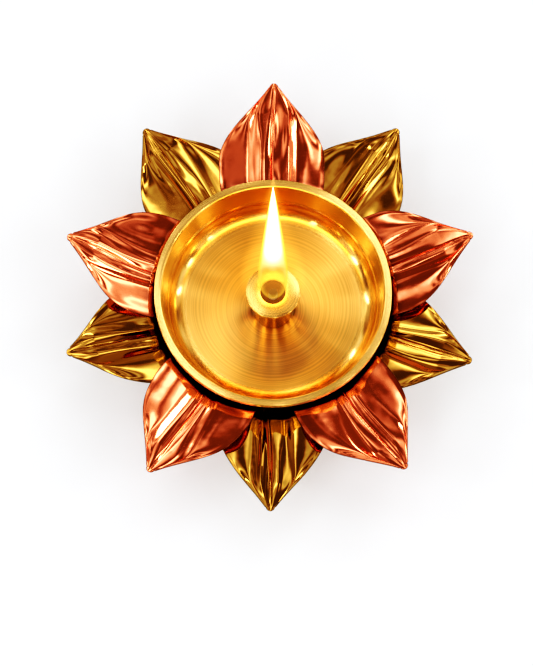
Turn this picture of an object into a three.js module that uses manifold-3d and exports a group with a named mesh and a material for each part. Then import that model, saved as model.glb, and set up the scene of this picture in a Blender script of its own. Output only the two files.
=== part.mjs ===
// Lotus oil lamp. A turned brass bowl with a lift-out wick holder stands in a flower of ten sheet petals,
// five copper ones above five brass ones, riveted to two plates that one screw clamps between bowl and foot.
// Millimetres, +Z up, origin at the centre of the foot's ground face, front towards -Y.
import * as THREE from "three";
import { mergeVertices } from "three/addons/utils/BufferGeometryUtils.js";
import Module from "manifold-3d";

const wasm = await Module();
wasm.setup();

// Clearances
const fitGap = 0.3; // round piece in the hole that takes it
const slipGap = 0.6; // wick holder in the recess of the bowl's floor
const wickGap = 0.1; // wick in its bore

// Foot: a turned ring with a web across it
const foot = {
  height: 5,
  groundRadius: 24,
  groundWidth: 3,
  edgeHeight: 1.4,
  wall: 2,
  webThickness: 1.8,
};

// Plates that carry the petals, and the ring that keeps them apart
const plateOverhang = 1.5; // plate beyond the end of a petal's flat tab
const plateThickness = 1.2;
const spacerRadius = 9;
const headGap = 0.5; // between rivet heads and what lies next to them

// Bowl
const bowl = {
  rimRadius: 38,
  rimWidth: 2.1,
  rimBevel: 0.3,
  lipChamfer: 0.5,
  depth: 17.5, // at its middle
  floorDish: 2.5, // how far the floor rises from its middle to its edge
  wallDepth: 8.8, // straight part of the inner wall, below the rim
  wallTaper: 1.6, // how much it narrows on the way down
  stepWidth: 0.5, // turned step where the wall ends
  wallThickness: 2.1,
  floorRadius: 27,
  floorThickness: 2.2,
  bottomInset: 2.5, // flat underside, inside the floor's edge
  shoulderRadius: 9.5,
  spigotRadius: 4.5,
  recessDepth: 0.8,
};

// Wick holder and wick
const holder = {
  stemRadius: 6.3,
  discRadius: 8.7,
  discThickness: 1.6,
  discBevel: 0.25,
  cupRadius: 3.95,
  cupDepth: 3.2,
  wickBoreLength: 4,
  chamberWall: 2.1,
  chamberTaper: 1.6,
  slotWidth: 3,
  slotHeight: 3.2,
};
const wick = { radius: 1.5, above: 1.2, tipLength: 1.2, tipRadius: 0.9, endGap: 0.5 };

// Fasteners
const screw = { radius: 1.8, headRadius: 3.5, headHeight: 1.9, endGap: 0.8, threadEnd: 1.8 };
const washer = { radius: 5, thickness: 0.6 };
const rivet = { shankRadius: 1.4, headRadius: 2.6, headHeight: 0.8 };
const neckGap = 1.5; // foot's neck inside the lower rivet heads

// Petals. Lengths along a blade are measured from its tip.
const sheet = 0.7;
const copperBlade = {
  halfWidth: 17.2,
  widestAt: 28.6,
  tipHalf: 0.8,
  cupRise: 2.6,
  pleatDepth: 1.5,
  tipDrop: 3.8, // tip below the bowl's rim
};
const brassBlade = { ...copperBlade, halfWidth: 17.4, widestAt: 28.7, cupRise: 2, tipDrop: 8 };
// How a blade rises: level below the bowl, steeply along its wall, and from its knee slowly on to the tip
const knee = {
  levelRun: 19.5,
  beyondRim: 1.5,
  bend: 3.6,
  share: 0.8, // of the tip's height
};
const tab = {
  halfWidth: 6.6,
  startGap: 1.5, // outside the spacer and the bowl's shoulder
  endInset: 4, // inside the edge of the bowl's flat underside
};
const pleat = {
  ridges: 3, // on each side of the middle
  band: 8.7, // half width of the pleated strip
  bandShare: 0.8, // most of the blade's width that it takes
  fadeStart: 7, // beyond the flat tab
  fadeLength: 11, // from there to full depth
  fullHalf: 9, // half width of the blade at which the pleats reach full depth
};
const outlineHandle = { tip: 12, tipRise: 8.8, widest: 12, waist: 12, neck: 6, neckRise: 6.5 };

// The flower as it is riveted by hand: each petal's azimuth, its reach beyond the bowl's rim, how far its
// pleats lie off its middle, and how far its middle bows off the line from rivet to tip
const copperLayer = {
  metal: "copper",
  blade: copperBlade,
  azimuth: { back: 89.7, right: 18, front_right: 306.2, front_left: 236, left: 163 },
  beyondRim: { back: 34.4, right: 29.5, front_right: 33.5, front_left: 32.8, left: 31.1 },
  pleatShift: { back: 0.5, right: -0.6, front_right: 0.7, front_left: -0.4, left: -0.8 },
  bow: { back: 0.6, right: -0.7, front_right: -1.5, front_left: 0.6, left: 1.2 },
};
const brassLayer = {
  metal: "brass",
  blade: brassBlade,
  azimuth: { front: 269.3, right: 342, back_right: 55.3, back_left: 125.5, left: 195.1 },
  beyondRim: { front: 32.5, right: 28.8, back_right: 32.9, back_left: 33.5, left: 30.4 },
  pleatShift: { front: -0.5, right: 0.6, back_right: -0.7, back_left: 0.4, left: 0.8 },
  bow: { front: 0.5, right: -0.8, back_right: 0.3, back_left: -0.8, left: -0.2 },
};

// Flats round a turned piece, and steps along its curves
const facets = { bowl: 52, foot: 36, holder: 32, ring: 24, small: 12, hole: 10 };
const curveSteps = { bowl: 5, foot: 6, bladeTip: 7, bladeWaist: 9 };

// Heights of the stack, from the ground up
const lowerPlateZ = foot.height;
const lowerTabZ = lowerPlateZ + plateThickness;
const upperPlateZ = lowerTabZ + sheet + 2 * rivet.headHeight + headGap;
const upperTabZ = upperPlateZ + plateThickness;
const underBowlZ = upperTabZ + sheet + rivet.headHeight + headGap;
const floorZ = underBowlZ + bowl.floorThickness;
const rimZ = floorZ + bowl.depth;
const floorEdgeZ = floorZ + bowl.floorDish;
const recessZ = floorZ - bowl.recessDepth;
const webZ = foot.height - foot.webThickness;

// Radii that follow from the sizes above
const bottomRadius = bowl.floorRadius - bowl.bottomInset;
const tabEnd = bottomRadius - tab.endInset;
const tabStart = Math.max(spacerRadius, bowl.shoulderRadius) + tab.startGap;
const rivetCircle = (tabStart + tabEnd) / 2;
const neckRadius = rivetCircle - rivet.headRadius - neckGap;
const stemBore = holder.stemRadius - holder.chamberWall;
const screwHole = screw.radius + fitGap;
const spigotHole = bowl.spigotRadius + fitGap;
const rivetHole = rivet.shankRadius + fitGap;

const finishes = {
  turnedBrass: new THREE.MeshStandardMaterial({ color: 0xd9a441, roughness: 0.28, metalness: 1 }),
  polishedBrass: new THREE.MeshStandardMaterial({ color: 0xb0801f, roughness: 0.1, metalness: 1 }),
  polishedCopper: new THREE.MeshStandardMaterial({ color: 0xd4623a, roughness: 0.1, metalness: 1 }),
  plainBrass: new THREE.MeshStandardMaterial({ color: 0xb48a3a, roughness: 0.4, metalness: 1 }),
  steel: new THREE.MeshStandardMaterial({ color: 0xa8aab0, roughness: 0.35, metalness: 1 }),
  cotton: new THREE.MeshStandardMaterial({ color: 0xe6ddc8, roughness: 0.95, metalness: 0 }),
};

const lamp = new THREE.Group();

function add(name, geometry, material, azimuth = 0) {
  const mesh = new THREE.Mesh(geometry, material);
  mesh.name = name;
  mesh.rotation.z = THREE.MathUtils.degToRad(azimuth);
  lamp.add(mesh);
}

// Solids for cutting, and back again
function toSolid(geometry) {
  const loose = geometry.index ? geometry.toNonIndexed() : geometry;
  const bare = new THREE.BufferGeometry().setAttribute("position", loose.getAttribute("position"));
  const merged = mergeVertices(bare, 1e-4);
  return new wasm.Manifold(
    new wasm.Mesh({
      numProp: 3,
      vertProperties: merged.attributes.position.array,
      triVerts: new Uint32Array(merged.index.array),
    }),
  );
}

function toGeometry(solid) {
  const mesh = solid.getMesh();
  return new THREE.BufferGeometry()
    .setAttribute("position", new THREE.BufferAttribute(mesh.vertProperties, 3))
    .setIndex(new THREE.BufferAttribute(mesh.triVerts, 1));
}

function cut(geometry, ...tools) {
  return toGeometry(tools.reduce((left, tool) => left.subtract(toSolid(tool)), toSolid(geometry)));
}

// A solid of revolution about Z from [radius, height] pairs, listed anticlockwise in the radius-height plane
function turned(profile, segments) {
  const points = profile.map(([radius, height]) => new THREE.Vector2(radius, height));
  return new THREE.LatheGeometry(points, segments).rotateX(Math.PI / 2);
}

// A quarter of an ellipse from [radius, height], level there and upright at its end, wide and high beyond
function bowlCurve(radius, height, wide, high, steps) {
  return Array.from({ length: steps + 1 }, (_, step) => {
    const angle = (step / steps) * (Math.PI / 2);
    return [radius + wide * Math.sin(angle), height + high * (1 - Math.cos(angle))];
  });
}

// The same the other way round: upright at [radius, height], then level
function flareCurve(radius, height, wide, high, steps) {
  return bowlCurve(radius + wide, height + high, -wide, -high, steps).reverse();
}

function smoothStep(from, to, value) {
  return THREE.MathUtils.smoothstep(value, from, to);
}

function footGeometry() {
  const hollowNeck = neckRadius - foot.wall;
  const hollowRadius = foot.groundRadius - foot.groundWidth;
  const hollow = flareCurve(hollowNeck, webZ, hollowRadius - hollowNeck, -webZ, curveSteps.foot);
  const flare = flareCurve(neckRadius, foot.height, foot.groundRadius - neckRadius,
    foot.edgeHeight - foot.height, curveSteps.foot);
  return turned([
    [screwHole, webZ],
    ...hollow,
    [foot.groundRadius, 0],
    ...flare.reverse(),
    [screwHole, foot.height],
    [screwHole, webZ],
  ], facets.foot);
}

function plateGeometry(z, azimuths) {
  const disc = new THREE.Shape().absarc(0, 0, tabEnd + plateOverhang, 0, 2 * Math.PI);
  disc.holes.push(new THREE.Path().absarc(0, 0, spigotHole, 0, 2 * Math.PI));
  Object.values(azimuths).forEach((azimuth) => {
    const angle = THREE.MathUtils.degToRad(azimuth);
    disc.holes.push(new THREE.Path().absarc(
      rivetCircle * Math.cos(angle), rivetCircle * Math.sin(angle), rivetHole, 0, 2 * Math.PI));
  });
  return new THREE.ExtrudeGeometry(disc, {
    depth: plateThickness,
    bevelEnabled: false,
    curveSegments: facets.hole,
  }).translate(0, 0, z);
}

function ringGeometry(inner, outer, low, high) {
  return turned([[inner, low], [outer, low], [outer, high], [inner, high], [inner, low]], facets.ring);
}

function bowlGeometry() {
  const spigotEnd = foot.height + fitGap;
  const holeEnd = recessZ - screw.threadEnd;
  const wallEndZ = rimZ - bowl.wallDepth;
  const innerRim = bowl.rimRadius - bowl.rimWidth;
  const wallTop = innerRim - bowl.lipChamfer;
  const wallEnd = wallTop - bowl.wallTaper;
  const coveEnd = wallEnd - bowl.stepWidth;
  const outerWallEnd = wallEnd + bowl.wallThickness;
  const inside = bowlCurve(bowl.floorRadius, floorEdgeZ, coveEnd - bowl.floorRadius,
    wallEndZ - bowl.stepWidth - floorEdgeZ, curveSteps.bowl);
  const outside = bowlCurve(bottomRadius, underBowlZ, outerWallEnd - bottomRadius,
    wallEndZ - underBowlZ, curveSteps.bowl);
  const recessRadius = holder.stemRadius + slipGap;
  const dish = [0.7, 0.4].map((share) => [share * bowl.floorRadius, floorZ + bowl.floorDish * share ** 2]);
  return turned([
    [0, holeEnd],
    [screwHole, holeEnd],
    [screwHole, spigotEnd],
    [bowl.spigotRadius, spigotEnd],
    [bowl.spigotRadius, upperTabZ],
    [bowl.shoulderRadius, upperTabZ],
    [bowl.shoulderRadius, underBowlZ],
    ...outside,
    [bowl.rimRadius, rimZ - bowl.wallThickness],
    [bowl.rimRadius, rimZ - bowl.rimBevel],
    [bowl.rimRadius - bowl.rimBevel, rimZ],
    [innerRim, rimZ],
    [wallTop, rimZ - bowl.lipChamfer],
    [wallEnd, wallEndZ],
    ...inside.reverse(),
    ...dish,
    [recessRadius, floorZ],
    [recessRadius, recessZ],
    [0, recessZ],
  ], facets.bowl);
}

function holderGeometry() {
  const bore = wick.radius + wickGap;
  const underDisc = rimZ - holder.discThickness;
  const boreEnd = rimZ - holder.cupDepth - holder.wickBoreLength;
  const body = turned([
    [stemBore, recessZ],
    [holder.stemRadius, recessZ],
    [holder.stemRadius, underDisc],
    [holder.discRadius - holder.discBevel, underDisc],
    [holder.discRadius, underDisc + holder.discBevel],
    [holder.discRadius, rimZ - holder.discBevel],
    [holder.discRadius - holder.discBevel, rimZ],
    [holder.cupRadius, rimZ],
    [bore, rimZ - holder.cupDepth],
    [bore, boreEnd],
    [stemBore, boreEnd - holder.chamberTaper],
    [stemBore, recessZ],
  ], facets.holder);
  const slot = new THREE.BoxGeometry(4 * holder.stemRadius, holder.slotWidth, 2 * holder.slotHeight)
    .translate(0, 0, recessZ);
  return cut(body, slot);
}

function wickGeometry() {
  const bottom = recessZ + wick.endGap;
  const top = rimZ + wick.above;
  return turned([
    [0, bottom],
    [wick.radius, bottom],
    [wick.radius, top - wick.tipLength],
    [wick.tipRadius, top],
    [0, top],
  ], facets.small);
}

function screwGeometry() {
  const headTop = webZ - washer.thickness;
  return turned([
    [0, headTop - screw.headHeight],
    [screw.headRadius, headTop - screw.headHeight],
    [screw.headRadius, headTop],
    [screw.radius, headTop],
    [screw.radius, recessZ - screw.threadEnd - screw.endGap],
    [0, recessZ - screw.threadEnd - screw.endGap],
  ], facets.ring);
}

// A rivet through a petal's tab and its plate, with a low head on each side
function rivetGeometry(plateZ) {
  const top = plateZ + plateThickness + sheet;
  const crown = rivet.headRadius / 2;
  return turned([
    [0, plateZ - rivet.headHeight],
    [crown, plateZ - rivet.headHeight],
    [rivet.headRadius, plateZ],
    [rivet.shankRadius, plateZ],
    [rivet.shankRadius, top],
    [rivet.headRadius, top],
    [crown, top + rivet.headHeight],
    [0, top + rivet.headHeight],
  ], facets.small).translate(rivetCircle, 0, 0);
}

// Half width of a blade at each row, as [distance from the tip, half width], tip first
function outlineRows(blade, length) {
  const tipSide = new THREE.CubicBezierCurve(
    new THREE.Vector2(0, blade.tipHalf),
    new THREE.Vector2(outlineHandle.tip, outlineHandle.tipRise),
    new THREE.Vector2(blade.widestAt - outlineHandle.widest, blade.halfWidth),
    new THREE.Vector2(blade.widestAt, blade.halfWidth),
  ).getPoints(curveSteps.bladeTip);
  const waistSide = new THREE.CubicBezierCurve(
    new THREE.Vector2(blade.widestAt, blade.halfWidth),
    new THREE.Vector2(blade.widestAt + outlineHandle.waist, blade.halfWidth),
    new THREE.Vector2(length - outlineHandle.neck, tab.halfWidth + outlineHandle.neckRise),
    new THREE.Vector2(length, tab.halfWidth),
  ).getPoints(curveSteps.bladeWaist);
  return [...tipSide, ...waistSide.slice(1)].map((point) => [point.x, point.y]);
}

// Stations across a row: on every ridge and valley of the pleats, then out over the smooth lobe to the edge
function stations(half, shift) {
  const band = Math.min(pleat.band, pleat.bandShare * half);
  const side = Array.from({ length: pleat.ridges }, (_, n) => ((n + 1) / pleat.ridges) * band);
  const right = [...side, (band + half) / 2, half];
  return [...right.map((y) => -y).reverse(), 0, ...right].map((y) => y + shift * (1 - (y / half) ** 2));
}

// Height above its root at which a blade passes a radius
function riseAt(radius, reach, tipRise) {
  const kneeRadius = bowl.rimRadius + knee.beyondRim;
  const kneeRise = knee.share * tipRise;
  const slope = (tipRise - kneeRise) / (reach - kneeRadius);
  if (radius >= kneeRadius) {
    return kneeRise + slope * (radius - kneeRadius);
  }
  const curve = new THREE.CubicBezierCurve(
    new THREE.Vector2(tabEnd, 0),
    new THREE.Vector2(tabEnd + knee.levelRun, 0),
    new THREE.Vector2(kneeRadius - knee.bend, kneeRise - slope * knee.bend),
    new THREE.Vector2(kneeRadius, kneeRise),
  );
  const span = { low: 0, high: 1 };
  for (let halving = 0; halving < 24; halving += 1) {
    const middle = (span.low + span.high) / 2;
    const side = curve.getPoint(middle).x < radius ? "low" : "high";
    span[side] = middle;
  }
  return curve.getPoint(span.low).y;
}

// A petal: a sheet that leaves its flat tab and rises along the bowl's wall, cupped and pleated.
// Its rows lie on circles round the bowl, so that they follow that wall.
function petalGeometry(blade, tabZ, beyondRim, pleatShift, bow) {
  const reach = bowl.rimRadius + beyondRim;
  const tipRise = rimZ - blade.tipDrop - tabZ - sheet;
  const length = reach - tabEnd;
  const rows = [...outlineRows(blade, length), [reach - tabStart, tab.halfWidth]].reverse();
  const fadeStart = tabEnd + pleat.fadeStart;
  const { widestAt } = blade;
  const grid = rows.map(([distance, half]) => {
    const along = reach - distance;
    const fullness = Math.min(half / pleat.fullHalf, 1);
    const depth = blade.pleatDepth * fullness;
    const bent = smoothStep(0, widestAt, distance) * (1 - smoothStep(widestAt, length, distance));
    return stations(half, pleatShift * fullness).map((y, n, all) => {
      const fromMiddle = Math.abs(n - (all.length - 1) / 2);
      const pleated = fromMiddle > pleat.ridges ? 0 : depth * (fromMiddle % 2 ? -0.5 : 0.5);
      const cup = blade.cupRise * (y / blade.halfWidth) ** 2;
      if (distance >= length) {
        return new THREE.Vector3(along, y, tabZ + sheet);
      }
      const point = new THREE.Vector2(Math.sqrt(along ** 2 + half ** 2 - y ** 2), y + bow * bent);
      const radius = point.length();
      const blend = smoothStep(fadeStart, fadeStart + pleat.fadeLength, radius);
      const z = tabZ + sheet + riseAt(radius, reach, tipRise) + blend * (cup + pleated);
      return new THREE.Vector3(point.x, point.y, z);
    });
  });
  const hole = new THREE.CylinderGeometry(rivetHole, rivetHole, 4 * sheet, facets.small)
    .rotateX(Math.PI / 2)
    .translate(rivetCircle, 0, tabZ);
  return cut(sheetSolid(grid, sheet), hole);
}

// Closes a grid of points, seen from above in rows along +X and columns along +Y, into a sheet
function sheetSolid(grid, thickness) {
  const columns = grid[0].length;
  const count = grid.length * columns;
  const upper = grid.flat();
  const points = [...upper, ...upper.map((p) => new THREE.Vector3(p.x, p.y, p.z - thickness))];
  const at = (row, column) => row * columns + column;
  const index = [];
  for (let row = 0; row < grid.length - 1; row += 1) {
    for (let column = 0; column < columns - 1; column += 1) {
      const [a, b] = [at(row, column), at(row + 1, column)];
      index.push(a, b, b + 1, a, b + 1, a + 1);
      index.push(a + count, b + 1 + count, b + count, a + count, a + 1 + count, b + 1 + count);
    }
  }
  const rim = [
    ...grid.map((_, row) => at(row, 0)),
    ...grid[0].map((_, column) => at(grid.length - 1, column)).slice(1),
    ...grid.map((_, row) => at(row, columns - 1)).reverse().slice(1),
    ...grid[0].map((_, column) => at(0, column)).reverse().slice(1, -1),
  ];
  rim.forEach((a, n) => {
    const b = rim[(n + 1) % rim.length];
    index.push(a, a + count, b + count, a, b + count, b);
  });
  return new THREE.BufferGeometry().setFromPoints(points).setIndex(index);
}

function addLayer({ metal, blade, azimuth, beyondRim, pleatShift, bow }, plateZ, material) {
  const tabZ = plateZ + plateThickness;
  Object.keys(azimuth).forEach((place) => {
    const petal = petalGeometry(blade, tabZ, beyondRim[place], pleatShift[place], bow[place]);
    add(`${metal}_petal_${place}`, petal, material, azimuth[place]);
    add(`${metal}_rivet_${place}`, rivetGeometry(plateZ), finishes.plainBrass, azimuth[place]);
  });
}

add("foot", footGeometry(), finishes.plainBrass);
add("lower_petal_plate", plateGeometry(lowerPlateZ, brassLayer.azimuth), finishes.plainBrass);
add("petal_spacer", ringGeometry(spigotHole, spacerRadius, lowerTabZ, upperPlateZ), finishes.plainBrass);
add("upper_petal_plate", plateGeometry(upperPlateZ, copperLayer.azimuth), finishes.plainBrass);
addLayer(brassLayer, lowerPlateZ, finishes.polishedBrass);
addLayer(copperLayer, upperPlateZ, finishes.polishedCopper);
add("bowl", bowlGeometry(), finishes.turnedBrass);
add("clamp_washer", ringGeometry(screwHole, washer.radius, webZ - washer.thickness, webZ), finishes.steel);
add("clamp_screw", screwGeometry(), finishes.steel);
add("wick_holder", holderGeometry(), finishes.turnedBrass);
add("wick", wickGeometry(), finishes.cotton);

export default lamp;
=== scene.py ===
import math
import random

import bmesh
import bpy
from bpy.props import FloatProperty, FloatVectorProperty, PointerProperty
from mathutils import Matrix, Vector, noise


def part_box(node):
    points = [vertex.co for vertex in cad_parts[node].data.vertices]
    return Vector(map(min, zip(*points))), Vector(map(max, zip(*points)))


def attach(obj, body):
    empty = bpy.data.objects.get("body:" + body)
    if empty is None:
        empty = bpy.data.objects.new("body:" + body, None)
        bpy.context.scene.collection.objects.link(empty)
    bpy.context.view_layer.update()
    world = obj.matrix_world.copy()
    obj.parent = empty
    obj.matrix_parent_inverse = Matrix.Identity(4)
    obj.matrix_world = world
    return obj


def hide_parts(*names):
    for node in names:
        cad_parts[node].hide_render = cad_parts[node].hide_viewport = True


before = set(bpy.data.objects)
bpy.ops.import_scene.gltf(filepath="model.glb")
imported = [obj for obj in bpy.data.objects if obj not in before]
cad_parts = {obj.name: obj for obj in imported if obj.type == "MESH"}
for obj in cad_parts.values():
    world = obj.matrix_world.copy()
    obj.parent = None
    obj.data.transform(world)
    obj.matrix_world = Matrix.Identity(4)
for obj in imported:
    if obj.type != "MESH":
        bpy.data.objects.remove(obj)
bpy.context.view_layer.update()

bl_info = {
    "name": "Lotus Oil Lamp",
    "version": (1, 0, 0),
    "blender": (4, 5, 0),
    "location": "3D View > Sidebar > Lamp",
    "description": "Dresses a lotus oil lamp: turned bowl, wick holder, wick and ten sheet petals",
    "category": "Object",
}

MM = 0.001

# What the CAD parts of model.glb say of the lamp's sizes, in metres
BOWL_LOW, BOWL_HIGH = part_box("bowl")
FOOT_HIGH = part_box("foot")[1]
HOLDER_LOW, HOLDER_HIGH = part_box("wick_holder")
WICK_LOW, WICK_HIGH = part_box("wick")
PETAL_PLACES = {
    "brass": ("front", "right", "back_right", "back_left", "left"),
    "copper": ("back", "right", "front_right", "front_left", "left"),
}
PLATES = {"brass": "lower_petal_plate", "copper": "upper_petal_plate"}

# How each petal is formed, in millimetres
# Its rib runs from the tip and has drifted sideways by this much at the neck
PETAL_RIBS = {
    "copper_petal_back": 0.3, "copper_petal_right": -1.4, "copper_petal_front_right": 0.4,
    "copper_petal_front_left": -0.6, "copper_petal_left": 2.8,
    "brass_petal_front": -2.0, "brass_petal_right": 1.9, "brass_petal_back_right": -0.6,
    "brass_petal_back_left": 1.2, "brass_petal_left": 1.6,
}
# How far the middle of each blade bows off the line from rivet to tip
PETAL_BOWS = {
    "copper_petal_back": 0.6, "copper_petal_right": -0.7, "copper_petal_front_right": -1.5,
    "copper_petal_front_left": 0.6, "copper_petal_left": 1.2,
    "brass_petal_front": 0.5, "brass_petal_right": -0.8, "brass_petal_back_right": 0.3,
    "brass_petal_back_left": -0.8, "brass_petal_left": -0.2,
}
# The folds, each [offset where it meets the outline, offset at the neck, height above the blade]
PETAL_FOLDS = {
    "copper_petal_back": ((-7.0, -6.0, 0.3), (-5.4, -4.8, -0.7), (4.2, 3.4, -0.4), (7.2, 5.8, 0.3)),
    "copper_petal_right": ((-5.2, -4.6, 0.4), (-2.6, -2.8, -0.5), (5.6, 2.3, -0.6), (7.4, 4.8, 0.4)),
    "copper_petal_front_right": ((-6.8, -2.4, 0.4), (-3.4, -1.2, -0.5), (3.2, 4.0, -0.6), (8.2, 6.4, 0.5)),
    "copper_petal_front_left": ((-6.8, -4.4, 0.5), (-4.2, -2.4, -0.5), (4.0, 1.6, -0.3), (7.2, 3.4, 0.5)),
    "copper_petal_left": ((-6.2, -2.4, 0.5), (-3.2, 0.0, -0.5), (3.4, 4.4, -0.5), (6.0, 6.2, 0.3)),
    "brass_petal_front": ((-6.2, -4.8, 0.5), (-3.6, -3.2, -0.6), (3.8, 1.8, -0.5), (7.4, 4.0, 0.5)),
    "brass_petal_right": ((-7.2, -3.0, 0.5), (-3.0, -0.8, -0.6), (4.6, 3.2, -0.4), (6.8, 4.4, 0.4)),
    "brass_petal_back_right": ((-7.0, -4.4, 0.4), (-3.4, -2.4, -0.6), (3.6, 2.2, -0.5), (7.4, 4.6, 0.5)),
    "brass_petal_back_left": ((-8.0, -4.8, 0.4), (-4.4, -3.0, -0.5), (2.6, 2.4, -0.6), (5.4, 4.2, 0.5)),
    "brass_petal_left": ((-6.0, -2.6, 0.5), (-3.0, -0.8, -0.6), (3.2, 3.4, -0.5), (6.6, 5.2, 0.5)),
}


def length(name, default, description):
    """A length that a user can change, in metres."""
    return FloatProperty(name=name, description=description, default=default, unit="LENGTH", precision=5)


def colour(name, default, description):
    """A colour that a user can change."""
    return FloatVectorProperty(name=name, description=description, default=default, subtype="COLOR",
                               size=3, min=0.0, max=1.0)


class LampFootSizes(bpy.types.PropertyGroup):
    """Sizes of the foot and of the plates on it."""

    neck_radius: length("Neck radius", 11.65 * MM, "Outer radius of the foot's neck")
    wall: length("Wall", 2.0 * MM, "Thickness of the neck's wall")
    web: length("Web", 3.2 * MM, "Height of the hollow below the web that the screw clamps")
    ground_width: length("Ground width", 3.0 * MM, "Width of the ring that stands on the table")
    ground_edge: length("Ground edge", 1.4 * MM, "Upright edge of that ring")
    hole_radius: length("Hole radius", 2.1 * MM, "Hole for the clamping screw")
    plate_hole_radius: length("Plate hole radius", 4.8 * MM, "Hole in the plates for the bowl's spigot")
    edge_round: length("Edge round", 0.12 * MM, "Rounding of turned edges")


class LampBowlSizes(bpy.types.PropertyGroup):
    """Sizes of the turned bowl."""

    rim_radius: length("Rim radius", BOWL_HIGH.x, "Outer radius of the lip")
    rim_width: length("Rim width", 2.1 * MM, "Width of the flat lip")
    lip_chamfer: length("Lip chamfer", 0.5 * MM, "Chamfer between lip and wall")
    wall_depth: length("Wall depth", 8.8 * MM, "Straight part of the inner wall")
    wall_taper: length("Wall taper", 1.6 * MM, "How much the wall narrows on the way down")
    step_width: length("Step width", 0.5 * MM, "Turned step where the wall ends")
    wall_thickness: length("Wall thickness", 2.1 * MM, "Thickness of the wall")
    floor_radius: length("Floor radius", 27.0 * MM, "Radius at which the floor turns up")
    floor_dish: length("Floor dish", 2.5 * MM, "Rise of the floor from its middle to its edge")
    floor_depth: length("Floor depth", 17.5 * MM, "Depth of the floor's middle below the rim")
    floor_thickness: length("Floor thickness", 2.2 * MM, "Thickness of the floor at its middle")
    bottom_inset: length("Bottom inset", 2.5 * MM, "Flat underside inside the floor's edge")
    shoulder_radius: length("Shoulder radius", 9.5 * MM, "Boss that stands on the upper plate")
    shoulder_height: length("Shoulder height", 2.0 * MM, "Height of that boss")
    spigot_radius: length("Spigot radius", 4.5 * MM, "Spigot through the plates")
    recess_depth: length("Recess depth", 0.8 * MM, "Depth of the wick holder's recess")
    recess_floor: length("Recess floor", 1.8 * MM, "Solid metal between that recess and the screw's hole")
    recess_gap: length("Recess gap", 0.6 * MM, "Gap round the wick holder in its recess")
    screw_hole_radius: length("Screw hole radius", 2.1 * MM, "Hole for the clamping screw")
    edge_round: length("Edge round", 0.14 * MM, "Rounding of turned edges")


class LampHolderSizes(bpy.types.PropertyGroup):
    """Sizes of the wick holder and the wick."""

    stem_radius: length("Stem radius", 6.3 * MM, "Outer radius of the stem")
    disc_radius: length("Disc radius", HOLDER_HIGH.x, "Radius of the disc on top")
    disc_thickness: length("Disc thickness", 1.6 * MM, "Thickness of that disc")
    cup_radius: length("Cup radius", 3.95 * MM, "Mouth of the hole in the disc")
    cup_depth: length("Cup depth", 3.2 * MM, "Depth of the cup down to the wick's bore")
    bore_length: length("Bore length", 4.0 * MM, "Length of the wick's bore")
    bore_radius: length("Bore radius", 1.6 * MM, "Radius of the wick's bore")
    chamber_radius: length("Chamber radius", 4.2 * MM, "Oil chamber inside the stem")
    chamber_taper: length("Chamber taper", 1.6 * MM, "Cone between bore and chamber")
    slot_width: length("Slot width", 3.0 * MM, "Oil slot at the stem's foot")
    slot_height: length("Slot height", 3.2 * MM, "Height of that slot")
    edge_round: length("Edge round", 0.16 * MM, "Rounding of turned edges")
    wick_radius: length("Wick radius", WICK_HIGH.y, "Radius of the twisted wick")


class LampPetalSizes(bpy.types.PropertyGroup):
    """Sizes that shape the sheet petals."""

    sheet: length("Sheet", 0.7 * MM, "Thickness of the sheet")
    copper_half_width: length("Copper half width", 17.2 * MM, "Half of a copper petal's width")
    brass_half_width: length("Brass half width", 17.4 * MM, "Half of a brass petal's width")
    copper_widest: length("Copper widest", 28.6 * MM, "Where a copper petal is widest, from its tip")
    brass_widest: length("Brass widest", 28.7 * MM, "Where a brass petal is widest, from its tip")
    tip_handle: length("Tip handle", 12.0 * MM, "How far the outline's curve runs out from the tip")
    tip_handle_half: length("Tip handle half width", 8.8 * MM, "Half width that it aims at there")
    widest_handle: length("Widest handle", 12.0 * MM, "How far it runs level beside the widest place")
    neck_handle: length("Neck handle", 6.0 * MM, "How far it runs back from the neck")
    neck_handle_half: length("Neck handle half width", 13.1 * MM, "Half width that it comes from there")
    level_run: length("Level run", 19.5 * MM, "How far the rise's lower handle lies beyond the tab")
    knee_reach: length("Knee reach", 1.5 * MM, "How far the knee lies beyond the bowl's rim")
    knee_bend: length("Knee bend", 3.6 * MM, "How far the rise bends before its knee")
    knee_share: FloatProperty(name="Knee share", description="Height of the knee, as a share of the tip's",
                              default=0.8)
    copper_cup: length("Copper cup", 2.6 * MM, "Rise of a copper petal's sides")
    brass_cup: length("Brass cup", 2.0 * MM, "Rise of a brass petal's sides")
    fold_start: length("Fold start", 10.0 * MM, "Distance from the tip at which the folds meet the outline")
    tip_half: length("Tip half width", 0.8 * MM, "Half width of the blade where its tip is rounded")
    tip_round: length("Tip round", 1.47 * MM, "Radius of the rounded tip")
    tab_half: length("Tab half width", 6.6 * MM, "Half width of the flat tab at the root")
    tab_start: length("Tab start", 11.0 * MM, "Radius at which the tab starts")
    tab_end: length("Tab end", 20.5 * MM, "Radius at which the blade leaves the plate")
    rib_half_width: length("Rib half width", 0.75 * MM, "Half width of the rib down the middle")
    rib_height: length("Rib height", 0.6 * MM, "Height of that rib")
    fold_root: length("Fold root", 7.0 * MM, "Where the folds start, beyond the flat tab")
    fold_fade: length("Fold fade", 11.0 * MM, "Length over which the folds rise from there")
    facet_bulge: length("Facet bulge", 0.3 * MM, "How far the strips between two folds bulge")
    lobe_rise: length("Lobe rise", 1.3 * MM, "Height of the smooth lobes beside the folds")
    dent_depth: length("Dent depth", 0.14 * MM, "Depth of the dents in the lobes")
    ripple_depth: length("Ripple depth", 0.1 * MM, "Depth of the ripples along the edge")


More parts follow.
